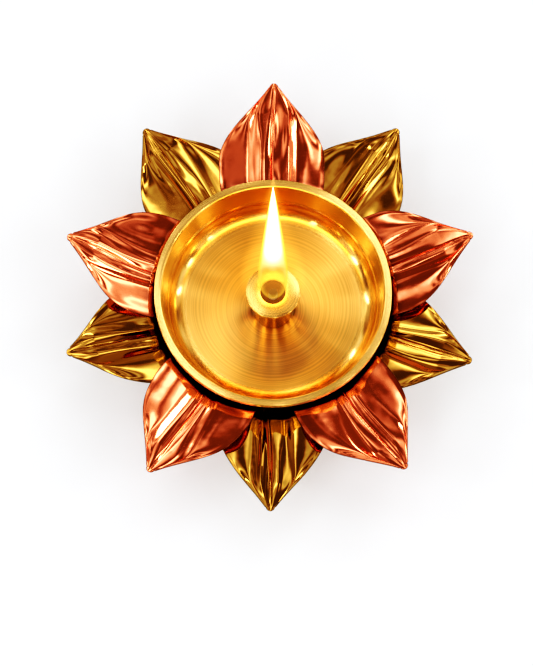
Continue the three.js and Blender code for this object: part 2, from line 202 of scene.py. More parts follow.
class LampColours(bpy.types.PropertyGroup):
    """Colours of the lamp's finishes."""

    turned_brass: colour("Turned brass", (0.76, 0.46, 0.15), "Bowl and wick holder")
    polished_brass: colour("Polished brass", (0.52, 0.28, 0.068), "Lower petals")
    polished_copper: colour("Polished copper", (0.95, 0.3, 0.15), "Upper petals")
    plain_brass: colour("Plain brass", (0.72, 0.45, 0.14), "Foot, plates and rivets")
    steel: colour("Steel", (0.58, 0.58, 0.6), "Clamping screw and washer")
    # Painted highlight: the lip's colour is a lighter copy of the brass, standing in for the light that the
    # lip reflects
    lip_highlight_brass: colour("Lip brass", (0.95, 0.64, 0.24), "Lip of the bowl, painted lighter as a highlight")
    cup_brown_brass: colour("Cup brown brass", (0.4, 0.13, 0.05), "Darker brown brass in the wick holder's cup")
    cotton: colour("Cotton", (0.82, 0.74, 0.58), "Clean wick")
    char: colour("Char", (0.02, 0.012, 0.008), "Burnt end of the wick")


class LampStageSizes(bpy.types.PropertyGroup):
    """Sizes of the camera's view, the flame and the floor."""

    camera_elevation: FloatProperty(name="Camera elevation", description="Angle above the horizon",
                                    default=math.radians(72.0), unit="ROTATION")
    camera_distance: length("Camera distance", 2.0, "From the camera to the rim's centre")
    flame_length: length("Flame length", 42.5 * MM, "From the wick to the flame's tip")
    flame_radius: length("Flame radius", 4.8 * MM, "Radius of the flame where it is widest")
    flame_lean: FloatProperty(name="Flame lean", description="How far the flame leans back",
                              default=math.radians(33.0), unit="ROTATION")
    flame_power: FloatProperty(name="Flame power", description="Power of the light that the flame gives",
                               default=0.005, unit="POWER")
    floor_reach: length("Floor reach", 3.0, "Half width of the floor")


# Shader node helpers

def math_node(tree, operation, first, second=None):
    """A math node fed by sockets or numbers; gives its output socket."""
    node = tree.nodes.new("ShaderNodeMath")
    node.operation = operation
    for slot, value in zip(node.inputs, (first, second)):
        if isinstance(value, bpy.types.NodeSocket):
            tree.links.new(value, slot)
        elif value is not None:
            slot.default_value = value
    return node.outputs[0]


def vector_math(tree, operation, first, second=None):
    """A vector math node fed by sockets or a fixed vector; gives its outputs."""
    node = tree.nodes.new("ShaderNodeVectorMath")
    node.operation = operation
    tree.links.new(first, node.inputs[0])
    if isinstance(second, bpy.types.NodeSocket):
        tree.links.new(second, node.inputs[1])
    elif second is not None:
        node.inputs[1].default_value = second
    return node.outputs


def split_vector(tree, vector):
    """The three parts of a vector, as sockets."""
    node = tree.nodes.new("ShaderNodeSeparateXYZ")
    tree.links.new(vector, node.inputs[0])
    return node.outputs


def axis_distance(tree, place):
    """The distance from the lamp's axis."""
    flat = vector_math(tree, "MULTIPLY", place, (1.0, 1.0, 0.0))[0]
    return vector_math(tree, "LENGTH", flat)["Value"]


def noise_node(tree, vector, scale, detail=2.0, dimensions="3D"):
    """A noise texture on a vector, or on a single value in one dimension."""
    node = tree.nodes.new("ShaderNodeTexNoise")
    node.noise_dimensions = dimensions
    node.inputs["Scale"].default_value = scale
    node.inputs["Detail"].default_value = detail
    tree.links.new(vector, node.inputs["W" if dimensions == "1D" else "Vector"])
    return node.outputs["Fac"]


def map_range(tree, value, low, high, start=0.0, end=1.0):
    """A value carried from one range to another, whose ends are numbers or sockets."""
    node = tree.nodes.new("ShaderNodeMapRange")
    for label, limit in (("From Min", start), ("From Max", end), ("To Min", low), ("To Max", high)):
        if isinstance(limit, bpy.types.NodeSocket):
            tree.links.new(limit, node.inputs[label])
        else:
            node.inputs[label].default_value = limit
    tree.links.new(value, node.inputs["Value"])
    return node.outputs["Result"]


def mix_colours(tree, factor, first, second):
    """A colour between two, as a share given by a socket."""
    node = tree.nodes.new("ShaderNodeMix")
    node.data_type = "RGBA"
    tree.links.new(factor, node.inputs["Factor"])
    for slot, value in (("A", first), ("B", second)):
        socket = next(s for s in node.inputs if s.name == slot and s.type == "RGBA")
        if isinstance(value, bpy.types.NodeSocket):
            tree.links.new(value, socket)
        else:
            socket.default_value = (*value, 1.0)
    return next(s for s in node.outputs if s.type == "RGBA")


def shade(base, factor):
    """A colour made darker or lighter."""
    return tuple(min(1.0, channel * factor) for channel in base)


def add_bump(tree, shader, height, distance, strength=1.0):
    """Roughens a surface in its shading by a height."""
    bump = tree.nodes.new("ShaderNodeBump")
    bump.inputs["Strength"].default_value = strength
    bump.inputs["Distance"].default_value = distance
    tree.links.new(height, bump.inputs["Height"])
    tree.links.new(bump.outputs["Normal"], shader.inputs["Normal"])


def new_material(name):
    """A new material's node tree, shader and object coordinates."""
    material = bpy.data.materials.new(name)
    material.use_nodes = True
    tree = material.node_tree
    place = tree.nodes.new("ShaderNodeTexCoord")
    return tree, tree.nodes["Principled BSDF"], place.outputs["Object"]


# Shader node groups

def new_group(name, value_name, value, outputs):
    """A shader group that takes a vector and one number, and puts out numbers."""
    group = bpy.data.node_groups.new(name, "ShaderNodeTree")
    group.interface.new_socket(name="Vector", in_out="INPUT", socket_type="NodeSocketVector")
    number = group.interface.new_socket(name=value_name, in_out="INPUT", socket_type="NodeSocketFloat")
    number.default_value = value
    for label in outputs:
        group.interface.new_socket(name=label, in_out="OUTPUT", socket_type="NodeSocketFloat")
    source = group.nodes.new("NodeGroupInput")
    sink = group.nodes.new("NodeGroupOutput")
    return group, source.outputs["Vector"], source.outputs[value_name], sink.inputs


def use_group(tree, name, vector, value):
    """A group placed in a material with its own number; gives its outputs."""
    node = tree.nodes.new("ShaderNodeGroup")
    node.node_tree = bpy.data.node_groups[name]
    tree.links.new(vector, node.inputs["Vector"])
    node.inputs[1].default_value = value
    return node.outputs


def lathe_rings_group():
    """Rings that a lathe tool leaves, from the distance to the axis and the height."""
    group, place, rings, sinks = new_group("Lathe rings", "Rings per metre", 2600.0,
                                           ("Height", "Tone", "Radius"))
    radius = axis_distance(group, place)
    along = math_node(group, "SUBTRACT", radius, split_vector(group, place)[2])
    turns = math_node(group, "MULTIPLY", along, rings)
    fine = noise_node(group, turns, 1.0, 3.0, "1D")
    coarse = noise_node(group, turns, 0.9, 2.0, "1D")
    height = math_node(group, "ADD", math_node(group, "MULTIPLY", fine, 0.6),
                       math_node(group, "MULTIPLY", coarse, 0.8))
    group.links.new(height, sinks["Height"])
    group.links.new(coarse, sinks["Tone"])
    group.links.new(radius, sinks["Radius"])


def polish_wear_group():
    """Smears and faint scratches that a cloth leaves on metal."""
    scratch_stretch, scratch_turn = (1.0, 14.0, 3.0), math.radians(28.0)
    scratch_scale, scratch_rarity = 2.2, 0.66
    group, place, scale, sinks = new_group("Polish wear", "Smear scale", 90.0, ("Smear", "Scratch"))
    scaled = vector_math(group, "MULTIPLY", place, scale)[0]
    stretched = group.nodes.new("ShaderNodeMapping")
    stretched.inputs["Scale"].default_value = scratch_stretch
    stretched.inputs["Rotation"].default_value = (0.0, 0.0, scratch_turn)
    group.links.new(scaled, stretched.inputs["Vector"])
    lines = noise_node(group, stretched.outputs[0], scratch_scale, 3.0)
    group.links.new(noise_node(group, scaled, 1.0, 4.0), sinks["Smear"])
    group.links.new(math_node(group, "GREATER_THAN", lines, scratch_rarity), sinks["Scratch"])


# Materials

# Finishes from the lathe: rings per metre, roughness, how far they draw light out into fans, and how deep
# the rings are
LATHE_FINISHES = {
    "Turned brass": (2200.0, 0.31, 1.0, 0.008 * MM),
    "Holder brass painted lighter": (2600.0, 0.19, 0.9, 0.008 * MM),
    "Plain brass": (1800.0, 0.34, 0.4, 0.03 * MM),
    "Steel": (3000.0, 0.32, 0.4, 0.02 * MM),
}
# Roughness of the mirror polished sheet
SHEET_ROUGHNESS = 0.075
# Smears of the cloth per metre, on turned metal and on sheet
TURNED_SMEARS, SHEET_SMEARS = 70.0, 110.0
# The lip's painted highlight, a lighter copy of the brass, starts at this distance inside the rim, and is
# full at the second one further out
LIP_INSET, LIP_BLEND = 1.6 * MM, 0.3 * MM
# The wall is finer turned than the floor: where the floor's finish gives way to the wall's, and the shares of
# the floor's roughness that wall and lip keep
WALL_RADII, WALL_POLISH, LIP_POLISH = (27.6 * MM, 30.0 * MM), 0.45, 0.85
# How far the finely turned wall takes on the lip's painted highlight, the lighter copy of the brass
WALL_PAINTED_HIGHLIGHT = 0.7
# The wick holder's cup is coloured a darker brown: over this width at its mouth it turns to the plain brass
CUP_BROWN_WIDTH = 0.9 * MM


def turned_metal(name, base, lip=None, darkened=None):
    """Metal from the lathe: fine rings, soft fans of light across them. A lip is [radii, colour] of a painted
    highlight: a lighter copy of the brass on the lip, part of which also goes into the wall. The last
    argument is [radii, colour] of a middle that is coloured a darker brown."""
    rings, roughness, anisotropy, ring_depth = LATHE_FINISHES[name]
    tree, shader, place = new_material(name)
    ring = use_group(tree, "Lathe rings", place, rings)
    smear = use_group(tree, "Polish wear", place, TURNED_SMEARS)["Smear"]
    tone = map_range(tree, ring["Tone"], 0.0, 1.0, 0.4, 0.6)
    colours = mix_colours(tree, tone, shade(base, 0.86), shade(base, 1.08))
    spread = math_node(tree, "MULTIPLY", ring["Height"], smear)
    rough = map_range(tree, spread, roughness * 0.85, roughness * 1.2)
    if lip:
        radii, bright = lip
        # Painted highlight: a lighter copy of the brass on the lip
        lip_highlight = map_range(tree, ring["Radius"], 0.0, 1.0, *radii)
        colours = mix_colours(tree, lip_highlight, colours, bright)
        polish = map_range(tree, ring["Radius"], 1.0, WALL_POLISH, *WALL_RADII)
        wall = map_range(tree, lip_highlight, polish, LIP_POLISH)
        # Painted highlight: part of that lighter brass is mixed into the finely turned wall
        wall_highlight = map_range(tree, wall, WALL_PAINTED_HIGHLIGHT, 0.0, WALL_POLISH, 1.0)
        colours = mix_colours(tree, wall_highlight, colours, bright)
        rough = math_node(tree, "MULTIPLY", rough, wall)
    if darkened:
        radii, brown = darkened
        # Darker brown in the wick holder's cup, fading out towards its mouth
        undarkened = map_range(tree, ring["Radius"], 0.0, 1.0, *radii)
        colours = mix_colours(tree, undarkened, brown, colours)
    tree.links.new(colours, shader.inputs["Base Color"])
    tree.links.new(rough, shader.inputs["Roughness"])
    shader.inputs["Metallic"].default_value = 1.0
    shader.inputs["Anisotropic"].default_value = anisotropy
    shader.inputs["Anisotropic Rotation"].default_value = 0.25
    tangent = tree.nodes.new("ShaderNodeTangent")
    tangent.direction_type = "RADIAL"
    tangent.axis = "Z"
    tree.links.new(tangent.outputs[0], shader.inputs["Tangent"])
    add_bump(tree, shader, ring["Height"], ring_depth, 0.5)


# Painted shade on the sheet beside the bowl, standing in for the dark gap under the rim and darker
# reflections there: from where to where, past the rim's radius, and the share of its brightness that is left
PAINTED_SHADE_START, PAINTED_SHADE_END, PAINTED_SHADE_SHARE = -0.5 * MM, 4.0 * MM, 0.3
# Painted shade along the cut edge, which is seen as a thin dark line
CUT_START, CUT_END, CUT_PAINTED_SHADE = 0.1 * MM, 0.5 * MM, 0.25


def polished_sheet(name, base):
    """Sheet metal polished by hand to a mirror, with faint smears, scratches and waves, and painted shade
    beside the bowl and along its cut edge, which the mesh gives as an attribute."""
    tree, shader, place = new_material(name)
    wear = use_group(tree, "Polish wear", place, SHEET_SMEARS)
    colours = mix_colours(tree, wear["Smear"], shade(base, 0.94), shade(base, 1.05))
    rim = BOWL_HIGH.x
    # Painted shade on the sheet beside the bowl
    undarkened = map_range(tree, axis_distance(tree, place), 0.0, 1.0, rim + PAINTED_SHADE_START, rim + PAINTED_SHADE_END)
    colours = mix_colours(tree, undarkened, shade(base, PAINTED_SHADE_SHARE), colours)
    edge = tree.nodes.new("ShaderNodeAttribute")
    edge.attribute_name = "edge"
    # Painted shade: a thin dark line along the cut edge
    inside = map_range(tree, edge.outputs["Fac"], 0.0, 1.0, CUT_START, CUT_END)
    colours = mix_colours(tree, inside, shade(base, CUT_PAINTED_SHADE), colours)
    tree.links.new(colours, shader.inputs["Base Color"])
    smeared = map_range(tree, wear["Smear"], SHEET_ROUGHNESS * 0.5, SHEET_ROUGHNESS * 1.5, 0.25, 0.75)
    scratched = math_node(tree, "MULTIPLY", wear["Scratch"], 0.05)
    tree.links.new(math_node(tree, "ADD", smeared, scratched), shader.inputs["Roughness"])
    shader.inputs["Metallic"].default_value = 1.0
    waves = noise_node(tree, place, 240.0, 1.0)
    add_bump(tree, shader, waves, 0.05 * MM, 0.6)


def cotton_material(colours):
    """Twisted cotton that turns to char over its last millimetres."""
    char_start, char_end, raggedness = WICK_HIGH.z - 4.0 * MM, WICK_HIGH.z - 1.0 * MM, 1.5 * MM
    tree, shader, place = new_material("Cotton wick")
    ragged = noise_node(tree, place, 900.0, 4.0)
    height = math_node(tree, "ADD", split_vector(tree, place)[2],
                       math_node(tree, "MULTIPLY", ragged, raggedness))
    darkened = map_range(tree, height, 0.0, 1.0, char_start, char_end)
    fibres = mix_colours(tree, ragged, shade(colours.cotton, 0.8), shade(colours.cotton, 1.1))
    tree.links.new(mix_colours(tree, darkened, fibres, tuple(colours.char)), shader.inputs["Base Color"])
    shader.inputs["Roughness"].default_value = 0.92
    add_bump(tree, shader, ragged, 0.15 * MM)


def make_materials():
    """Every finish of the lamp, from the colours that a user can change."""
    colours = bpy.context.scene.lamp_colours
    cup = bpy.context.scene.lamp_holder.cup_radius
    lip_start = BOWL_HIGH.x - LIP_INSET
    lathe_rings_group()
    polish_wear_group()
    turned_metal("Turned brass", tuple(colours.turned_brass),
                 lip=((lip_start, lip_start + LIP_BLEND), tuple(colours.lip_highlight_brass)))
    # Painted light: the wick holder gets a lighter copy of the turned brass, so that its disc looks brightly
    # lit
    turned_metal("Holder brass painted lighter", shade(colours.turned_brass, 1.2),
                 darkened=((cup - CUP_BROWN_WIDTH, cup), tuple(colours.cup_brown_brass)))
    turned_metal("Plain brass", tuple(colours.plain_brass))
    turned_metal("Steel", tuple(colours.steel))
    polished_sheet("Polished copper", tuple(colours.polished_copper))
    polished_sheet("Polished brass", tuple(colours.polished_brass))
    cotton_material(colours)


# Mesh helpers

# Edges that bend more than this are rounded, and those that bend more than the other are shaded as creases
ROUNDED_BEND, CREASED_BEND = math.radians(28.0), math.radians(38.0)


def turned(profile, segments, edge_round=0.0, closed=False):
    """A bmesh spun about Z from [radius, height] points, with its sharp ring edges rounded."""
    bm = bmesh.new()
    points = [bm.verts.new((radius, 0.0, height)) for radius, height in profile]
    pairs = list(zip(points, points[1:]))
    if closed:
        pairs.append((points[-1], points[0]))
    edges = [bm.edges.new(pair) for pair in pairs]
    bmesh.ops.spin(bm, geom=points + edges, axis=(0, 0, 1), cent=(0, 0, 0), angle=2 * math.pi,
                   steps=segments, use_merge=True)
    bmesh.ops.remove_doubles(bm, verts=bm.verts[:], dist=1e-7)
    bmesh.ops.recalc_face_normals(bm, faces=bm.faces[:])
    if edge_round:
        sharp = [e for e in bm.edges if e.is_manifold and e.calc_face_angle() > ROUNDED_BEND]
        bmesh.ops.bevel(bm, geom=sharp, offset=edge_round, offset_type="OFFSET", segments=3, profile=0.5,
                        affect="EDGES", clamp_overlap=True, material=-1)
    return bm


def quarter_turn(steps):
    """Angles from 0 to 90 degrees."""
    return [math.pi / 2 * step / steps for step in range(steps + 1)]


def quarter(radius, height, wide, high, steps):
    """A quarter of an ellipse that leaves [radius, height] level and ends upright."""
    return [(radius + wide * math.sin(a), height + high * (1 - math.cos(a))) for a in quarter_turn(steps)]


def dome(radius, height, rise, steps):
    """A quarter of an ellipse that starts upright at [radius, height] and ends level on the axis."""
    return [(radius * math.cos(a), height + rise * math.sin(a)) for a in quarter_turn(steps)]


def ring_profile(node, hole):
    """Section of a flat ring that stands for a CAD node."""
    low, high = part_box(node)
    return [(hole, low.z), (high.x, low.z), (high.x, high.z), (hole, high.z)]


def add_piece(bm, name, material, body, slot, *nodes):
    """Makes a finished piece of a bmesh: smooth, on its body, and standing for its CAD nodes."""
    for face in bm.faces:
        face.smooth = True
    for edge in bm.edges:
        edge.smooth = not (edge.is_manifold and edge.calc_face_angle() > CREASED_BEND)
    piece = add_object(bm, name, material)
    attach(piece, body)
    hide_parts(*nodes)
    return piece


def add_object(bm, name, material=None):
    """Turns a bmesh into an object of the scene."""
    mesh = bpy.data.meshes.new(name)
    bm.to_mesh(mesh)
    bm.free()
    if material:
        mesh.materials.append(bpy.data.materials[material])
    made = bpy.data.objects.new(name, mesh)
    bpy.context.scene.collection.objects.link(made)
    return made


def smooth(low, high, value):
    """A soft step from 0 to 1 between two places."""
    t = min(1.0, max(0.0, (value - low) / (high - low)))
    return t * t * (3 - 2 * t)


# Petals

def tip_of(node):
    """Reach, azimuth and upper height of the tip of a petal's CAD node."""
    tip_zone = 0.3 * MM
    points = [v.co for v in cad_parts[node].data.vertices]
    reach = max(point.xy.length for point in points)
    ends = [point for point in points if point.xy.length > reach - tip_zone]
    middle = sum(ends, Vector()) / len(ends)
    return reach, math.atan2(middle.y, middle.x), max(point.z for point in ends)


def bezier(points, steps):
    """The points of a cubic curve with four handles."""
    a, b, c, d = points
    curve = []
    for step in range(steps + 1):
        t = step / steps
        s = 1 - t
        curve.append(a * s ** 3 + 3 * b * s * s * t + 3 * c * s * t * t + d * t ** 3)
    return curve


def blade_outline(half_width, widest, blade_length, sizes):
    """Half width of a blade against the distance from its tip, as a smooth table."""
    tip_side = [Vector(p) for p in (
        (0.0, sizes.tip_half), (sizes.tip_handle, sizes.tip_handle_half),
        (widest - sizes.widest_handle, half_width), (widest, half_width))]
    neck_side = [Vector(p) for p in (
        (widest, half_width), (widest + sizes.widest_handle, half_width),
        (blade_length - sizes.neck_handle, sizes.neck_handle_half), (blade_length, sizes.tab_half))]
    return bezier(tip_side, 60)[:-1] + bezier(neck_side, 60)


def look_up(table, place):
    """The second value of a table of points, between the two points whose first values hold the place."""
    for before, after in zip(table, table[1:]):
        if before.x <= place <= after.x:
            share = (place - before.x) / (after.x - before.x)
            return before.y + share * (after.y - before.y)
    return table[-1].y if place > table[-1].x else table[0].y


def soft_min(first, second):
    """The smaller of two lengths, with a soft change from one to the other."""
    power = 6
    return (max(first, 1e-6) ** -power + max(second, 1e-6) ** -power) ** (-1 / power)


class Petal:
    """One petal's shape in its own frame: +X outwards, +Y to its left, as the plan of the lamp sees it."""

    # Rows from the root to the tip, which crowd towards the tip by a power
    ROWS, ROW_POWER = 120, 1.6
    # Points across: on the strip between two knots, on each lobe, and from the rim inwards
    FACET_STEPS = (0.07, 0.29, 0.5, 0.71, 0.93)
    LOBE_STEPS = 18
    RIM_STEPS = (0.62, 0.3, 0.1, 0.0)
    # Half width of the blade from which its forms have their full height
    FULL_HALF = 9.0 * MM
    # Each kind of unevenness has its own layer of the noise
    DENTS, SWELLS, WAVES, SMALL_DENTS, BULGES, RIPPLES = 0.0, 1.0, 3.0, 5.0, 7.0, 9.0
    # Lengths over which they change across the sheet
    DENT_SIZE, SMALL_DENT_SIZE, SWELL_SIZE, BULGE_SIZE = 9.0 * MM, 4.5 * MM, 14.0 * MM, 26.0 * MM
    WAVE_SIZE, RIPPLE_SIZE = 8.0 * MM, 4.5 * MM
    # Lobes and dents are drawn out towards the tip by these shares
    SWELL_STRETCH, DENT_STRETCH = 0.45, 0.5
    # The swellings' mean height and how much it changes, and how far their crest leans towards the folds
    SWELL_MEAN, SWELL_CHANGE, SWELL_LEAN = 0.6, 0.8, 0.8
    # The dents start at this share of a lobe, and the small ones have this share of the others' depth
    DENT_START, SMALL_DENT_SHARE = 0.35, 0.3
    # The strips' bulges are this many times the noise, which is taken this far apart for two strips
    BULGE_GAIN, STRIPS_APART = 2.4, 40.0
    # The ripples fade over this width, and the outline waves by this much
    RIPPLE_WIDTH, WAVE_DEPTH = 2.4 * MM, 0.3 * MM
    # A fine bead runs along the edge: height, distance from the edge, and width
    BEAD_HEIGHT, BEAD_INSET, BEAD_WIDTH = 0.15 * MM, 0.45 * MM, 0.35 * MM
    # Near the tip the rib takes at most this share of the half width, and the folds this one
    RIB_ROOM, FOLD_ROOM = 0.3, 0.9
    # The folds keep this distance from the rib's middle, and all knots this one from each other, in half ribs
    RIB_CLEARANCE, LEAST_STEP = 1.25, 0.02

    def __init__(self, node, metal, seed):
        sizes = bpy.context.scene.lamp_petals
        copper = metal == "copper"
        self.sizes = sizes
        self.half_width = sizes.copper_half_width if copper else sizes.brass_half_width
        self.cup_rise = sizes.copper_cup if copper else sizes.brass_cup
        self.widest = sizes.copper_widest if copper else sizes.brass_widest
        self.reach, self.azimuth, tip_z = tip_of(node)
        self.root_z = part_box(node)[0].z + sizes.sheet
        self.blade = self.reach - sizes.tab_end
        self.outline = blade_outline(self.half_width, self.widest, self.blade, sizes)
        tip = Vector((self.reach, tip_z - self.root_z))
        knee = Vector((BOWL_HIGH.x + sizes.knee_reach, sizes.knee_share * tip.y))
        bend = (tip - knee) * sizes.knee_bend / (tip.x - knee.x)
        level = Vector((sizes.tab_end, 0.0))
        self.rise = bezier((level, level + Vector((sizes.level_run, 0.0)), knee - bend, knee), 80) + [tip]
        self.bow = PETAL_BOWS[node] * MM
        self.rib_drift = PETAL_RIBS[node] * MM
        self.folds = [tuple(value * MM for value in fold) for fold in PETAL_FOLDS[node]]
        self.widest_fold = max(abs(outer) for outer, _, _ in self.folds)
        rng = random.Random(seed)
        self.offset = Vector([rng.uniform(-50, 50) for _ in range(3)])

    def noise(self, x, y, size, layer):
        """Unevenness that is this petal's own, about -0.5 to 0.5."""
        return noise.noise(Vector((x / size, y / size, layer)) + self.offset)

    def row_distance(self, row):
        """Distance from the tip. The rows crowd towards the tip, and the last ones run over the flat tab."""
        return (self.reach - self.sizes.tab_start) * (1 - row / self.ROWS) ** self.ROW_POWER

    def half_at(self, distance):
        """Half width at a distance from the tip, with the tip's rounding and a slightly uneven outline."""
        half = look_up(self.outline, distance)
        tip_round = self.sizes.tip_round
        if distance < tip_round:
            half = min(half, math.sqrt(max(0.0, 2 * tip_round * distance - distance ** 2)))
        wave = self.noise(distance, 0.0, self.WAVE_SIZE, self.WAVES)
        return max(half + self.WAVE_DEPTH * min(1.0, half / self.FULL_HALF) * wave, 0.01 * MM)

    def knots(self, distance, half):
        """Rib and folds across the blade, as [offset, height], from right to left."""
        start = self.sizes.fold_start
        run = (distance - start) / (self.blade - start)
        rib_middle = self.rib_drift * smooth(0.0, self.blade, distance)
        rib_half = soft_min(self.sizes.rib_half_width, self.RIB_ROOM * half)
        rib_height = self.sizes.rib_height * rib_half / self.sizes.rib_half_width
        found = []
        for outer, inner, height in self.folds:
            free = outer + (inner - outer) * max(0.0, run)
            room = self.FOLD_ROOM * half * abs(outer) / self.widest_fold
            offset = math.copysign(soft_min(abs(free), room), outer)
            held = min(1.0, abs(offset) / max(abs(free), 1e-6))
            found.append((offset, height * held ** 2))
        clearance = self.RIB_CLEARANCE * rib_half
        right = [(min(y, rib_middle - clearance), z) for y, z in found if y < 0]
        left = [(max(y, rib_middle + clearance), z) for y, z in found if y > 0]
        rib = [(rib_middle - rib_half, 0.0), (rib_middle, rib_height), (rib_middle + rib_half, 0.0)]
        knots = right + rib + left
        least_step = self.LEAST_STEP * rib_half
        for n in range(1, len(knots)):
            if knots[n][0] < knots[n - 1][0] + least_step:
                knots[n] = (knots[n - 1][0] + least_step, knots[n][1])
        return knots

    def offsets(self, half, knots):
        """Where the points of a row lie, each as [offset, strip, share]. The strips between two knots are
        numbered. A lobe has none, and its share runs from the outermost fold to the rim."""
        rim = min(self.sizes.sheet / 2, 0.25 * half)
        inner_edge = half - rim
        right, left = knots[0][0], knots[-1][0]
        shares = [n / self.LOBE_STEPS for n in range(1, self.LOBE_STEPS)]
        row = [(-half + rim * share, None, 1.0) for share in reversed(self.RIM_STEPS)]
        row += [(-inner_edge + (inner_edge + right) * share, None, 1 - share) for share in shares]
        for strip, ((before, _), (after, _)) in enumerate(zip(knots, knots[1:])):
            row += [(before + (after - before) * t, strip, t) for t in self.FACET_STEPS]
        row += [(left + (inner_edge - left) * share, None, share) for share in shares]
        return row + [(half - rim * share, None, 1.0) for share in self.RIM_STEPS]

    def strip_form(self, knots, strip, t, distance, full):
        """Height of a point on the strip between two knots, which bulges a little."""
        before, after = knots[strip][1], knots[strip + 1][1]
        uneven = self.noise(distance, strip * self.STRIPS_APART, self.BULGE_SIZE, self.BULGES)
        bulge = self.sizes.facet_bulge * full * self.BULGE_GAIN * uneven
        return full * (before + (after - before) * t + bulge * 4 * t * (1 - t))

    def lobe_form(self, crease, y, share, distance, edge, full):
        """Height of a point on the lobe beside the outermost fold, which swells and has dents and ripples."""
        sizes = self.sizes
        uneven = self.noise(self.SWELL_STRETCH * distance, y, self.SWELL_SIZE, self.SWELLS)
        swell = math.sin(math.pi * share ** self.SWELL_LEAN) * (self.SWELL_MEAN + self.SWELL_CHANGE * uneven)
        form = full * (crease * (1 - share) ** 2 + sizes.lobe_rise * swell)
        drawn_out = self.DENT_STRETCH * distance
        dents = self.noise(drawn_out, y, self.DENT_SIZE, self.DENTS)
        dents += self.SMALL_DENT_SHARE * self.noise(drawn_out, y, self.SMALL_DENT_SIZE, self.SMALL_DENTS)
        form += full * sizes.dent_depth * smooth(0.0, self.DENT_START, share) * dents
        side = 30.0 if y > 0 else 60.0
        ripple = self.noise(distance, side, self.RIPPLE_SIZE, self.RIPPLES)
        return form + full * sizes.ripple_depth * math.exp(-edge / self.RIPPLE_WIDTH) * ripple

    def row_points(self, row):
        """The points of one row across the petal, each as [point, distance to the edge]."""
        distance = self.row_distance(row)
        half = self.half_at(distance)
        full = min(1.0, half / self.FULL_HALF)
        along = self.reach - distance
        bow = self.bow * smooth(0.0, self.widest, distance) * (1 - smooth(self.widest, self.blade, distance))
        knots = self.knots(distance, half)
        points = []
        for y, strip, share in self.offsets(half, knots):
            edge = max(half - abs(y), 0.0)
            if strip is None:
                crease = (knots[0] if y < 0 else knots[-1])[1]
                form = self.lobe_form(crease, y, share, distance, edge, full)
            else:
                form = self.strip_form(knots, strip, share, distance, full)
            cup = self.cup_rise * (y / self.half_width) ** 2
            bead = self.BEAD_HEIGHT * full * math.exp(-((edge - self.BEAD_INSET) / self.BEAD_WIDTH) ** 2)
            points.append((self.place(along, half, y, bow, cup + form + bead), edge))
        return points

    def place(self, along, half, y, bow, form):
        """A point of a row. The rows lie on circles round the bowl, so that they follow its wall."""
        sizes = self.sizes
        if along <= sizes.tab_end:
            return Vector((along, y, self.root_z))
        x = math.sqrt(along ** 2 + half ** 2 - y ** 2)
        radius = math.hypot(x, y + bow)
        root = sizes.tab_end + sizes.fold_root
        blend = smooth(root, root + sizes.fold_fade, radius)
        return Vector((x, y + bow, self.root_z + look_up(self.rise, radius) + blend * form))


def petal_piece(metal, place, seed):
    """A petal as a grid bent to its rows, thickened downwards, with a rounded rim."""
    node = f"{metal}_petal_{place}"
    petal = Petal(node, metal, seed)
    sheet = petal.sizes.sheet
    rows = [petal.row_points(row) for row in range(petal.ROWS + 1)]
    columns = len(rows[0]) - 1
    bm = bmesh.new()
    bmesh.ops.create_grid(bm, x_segments=petal.ROWS, y_segments=columns, size=1.0)
    edge_layer = bm.verts.layers.float.new("edge")
    for vert in bm.verts:
        row = round((vert.co.x + 1) / 2 * petal.ROWS)
        column = round((vert.co.y + 1) / 2 * columns)
        point, edge = rows[row][column]
        vert.co = (point.x, point.y, point.z - sheet)
        vert[edge_layer] = edge
    under = set(bm.verts)
    made = bmesh.ops.extrude_face_region(bm, geom=bm.faces[:])
    upper = [g for g in made["geom"] if isinstance(g, bmesh.types.BMVert)]
    bmesh.ops.translate(bm, verts=upper, vec=(0, 0, sheet))
    for vert in bm.verts:
        share = min(1.0, vert[edge_layer] / (sheet / 2))
        drop = sheet / 2 * (1 - math.sqrt(max(0.0, 1 - (1 - share) ** 2)))
        vert.co.z += drop if vert in under else -drop
    bmesh.ops.remove_doubles(bm, verts=bm.verts[:], dist=1e-6)
    bmesh.ops.recalc_face_normals(bm, faces=bm.faces[:])
    bmesh.ops.rotate(bm, verts=bm.verts[:], cent=(0, 0, 0), matrix=Matrix.Rotation(petal.azimuth, 3, "Z"))
    add_piece(bm, f"{metal}_petal_sheet_{place}", f"Polished {metal}", "lamp", f"polished_{metal}", node)


# Operators, one for each piece or group of like pieces

class LAMP_OT_foot(bpy.types.Operator):
    """Turn the foot that carries the lamp"""
    bl_idname = "lamp.foot"
    bl_label = "Foot"

    def execute(self, context):
        sizes = context.scene.lamp_foot
        ground, top, steps = FOOT_HIGH.x, FOOT_HIGH.z, 14
        inner_ground = ground - sizes.ground_width
        hollow_neck = sizes.neck_radius - sizes.wall
        hollow = quarter(inner_ground, 0.0, hollow_neck - inner_ground, sizes.web, steps)
        flare = quarter(ground, sizes.ground_edge, sizes.neck_radius - ground, top - sizes.ground_edge, steps)
        profile = [(sizes.hole_radius, sizes.web), *hollow[::-1], (ground, 0.0), *flare,
                   (sizes.hole_radius, top)]
        bm = turned(profile, 128, sizes.edge_round, closed=True)
        add_piece(bm, "turned_foot", "Plain brass", "lamp", "plain_brass", "foot")
        return {"FINISHED"}


class LAMP_OT_plates(bpy.types.Operator):
    """Turn the two plates that carry the petals, and the ring between them"""
    bl_idname = "lamp.plates"
    bl_label = "Petal Plates"

    def execute(self, context):
        sizes = context.scene.lamp_foot
        for node in (*PLATES.values(), "petal_spacer"):
            bm = turned(ring_profile(node, sizes.plate_hole_radius), 96, sizes.edge_round, closed=True)
            add_piece(bm, f"turned_{node}", "Plain brass", "lamp", "plain_brass", node)
        return {"FINISHED"}


